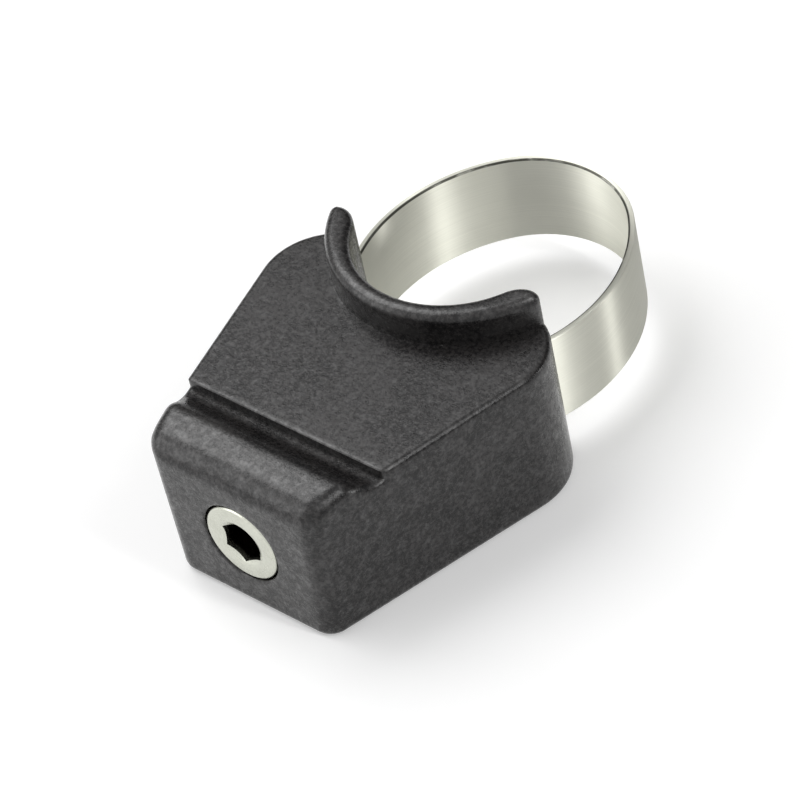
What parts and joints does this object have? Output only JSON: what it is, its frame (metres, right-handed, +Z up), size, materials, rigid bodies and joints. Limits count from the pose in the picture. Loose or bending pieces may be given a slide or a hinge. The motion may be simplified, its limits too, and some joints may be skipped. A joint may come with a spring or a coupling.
{
  "type": "seatpost bag adapter",
  "caption": "Tapered plastic block with a seatpost cradle, a latch groove for a bag holder and a steel band that a socket screw draws tight round the post.",
  "frame": {"origin": "where the seatpost axis meets the height of the screw axis", "axes": "+Z up along the seatpost, -Y towards the screw head and the bag, +X to the right seen from the screw head"},
  "size_m": [0.0388, 0.0643, 0.0239],
  "materials": {
    "body_plastic": "fine moulded grain, satin",
    "band_steel": "brushed stainless strip",
    "screw_steel": "bright plated",
    "nut_steel": "plain plated"
  },
  "bodies": {
    "adapter": {"adapter_body": "body_plastic"},
    "screw": {"clamp_screw": "screw_steel"},
    "band": {"clamp_band": "band_steel", "draw_nut": "nut_steel"}
  },
  "joints": [
    {"name": "screw_turn", "type": "hinge", "parent": "adapter", "child": "screw", "pos_m": [0, -0.036, 0], "axis": [0, 1, 0], "range_deg": [0, 3240]},
    {"name": "band_slide", "type": "slide", "parent": "adapter", "child": "band", "axis": [0, -1, 0], "range_m": [0, 0.009]}
  ],
  "couplings": [
    {"joint": "screw_turn", "follows": "band_slide", "rad_per_m": 6283.2}
  ]
}
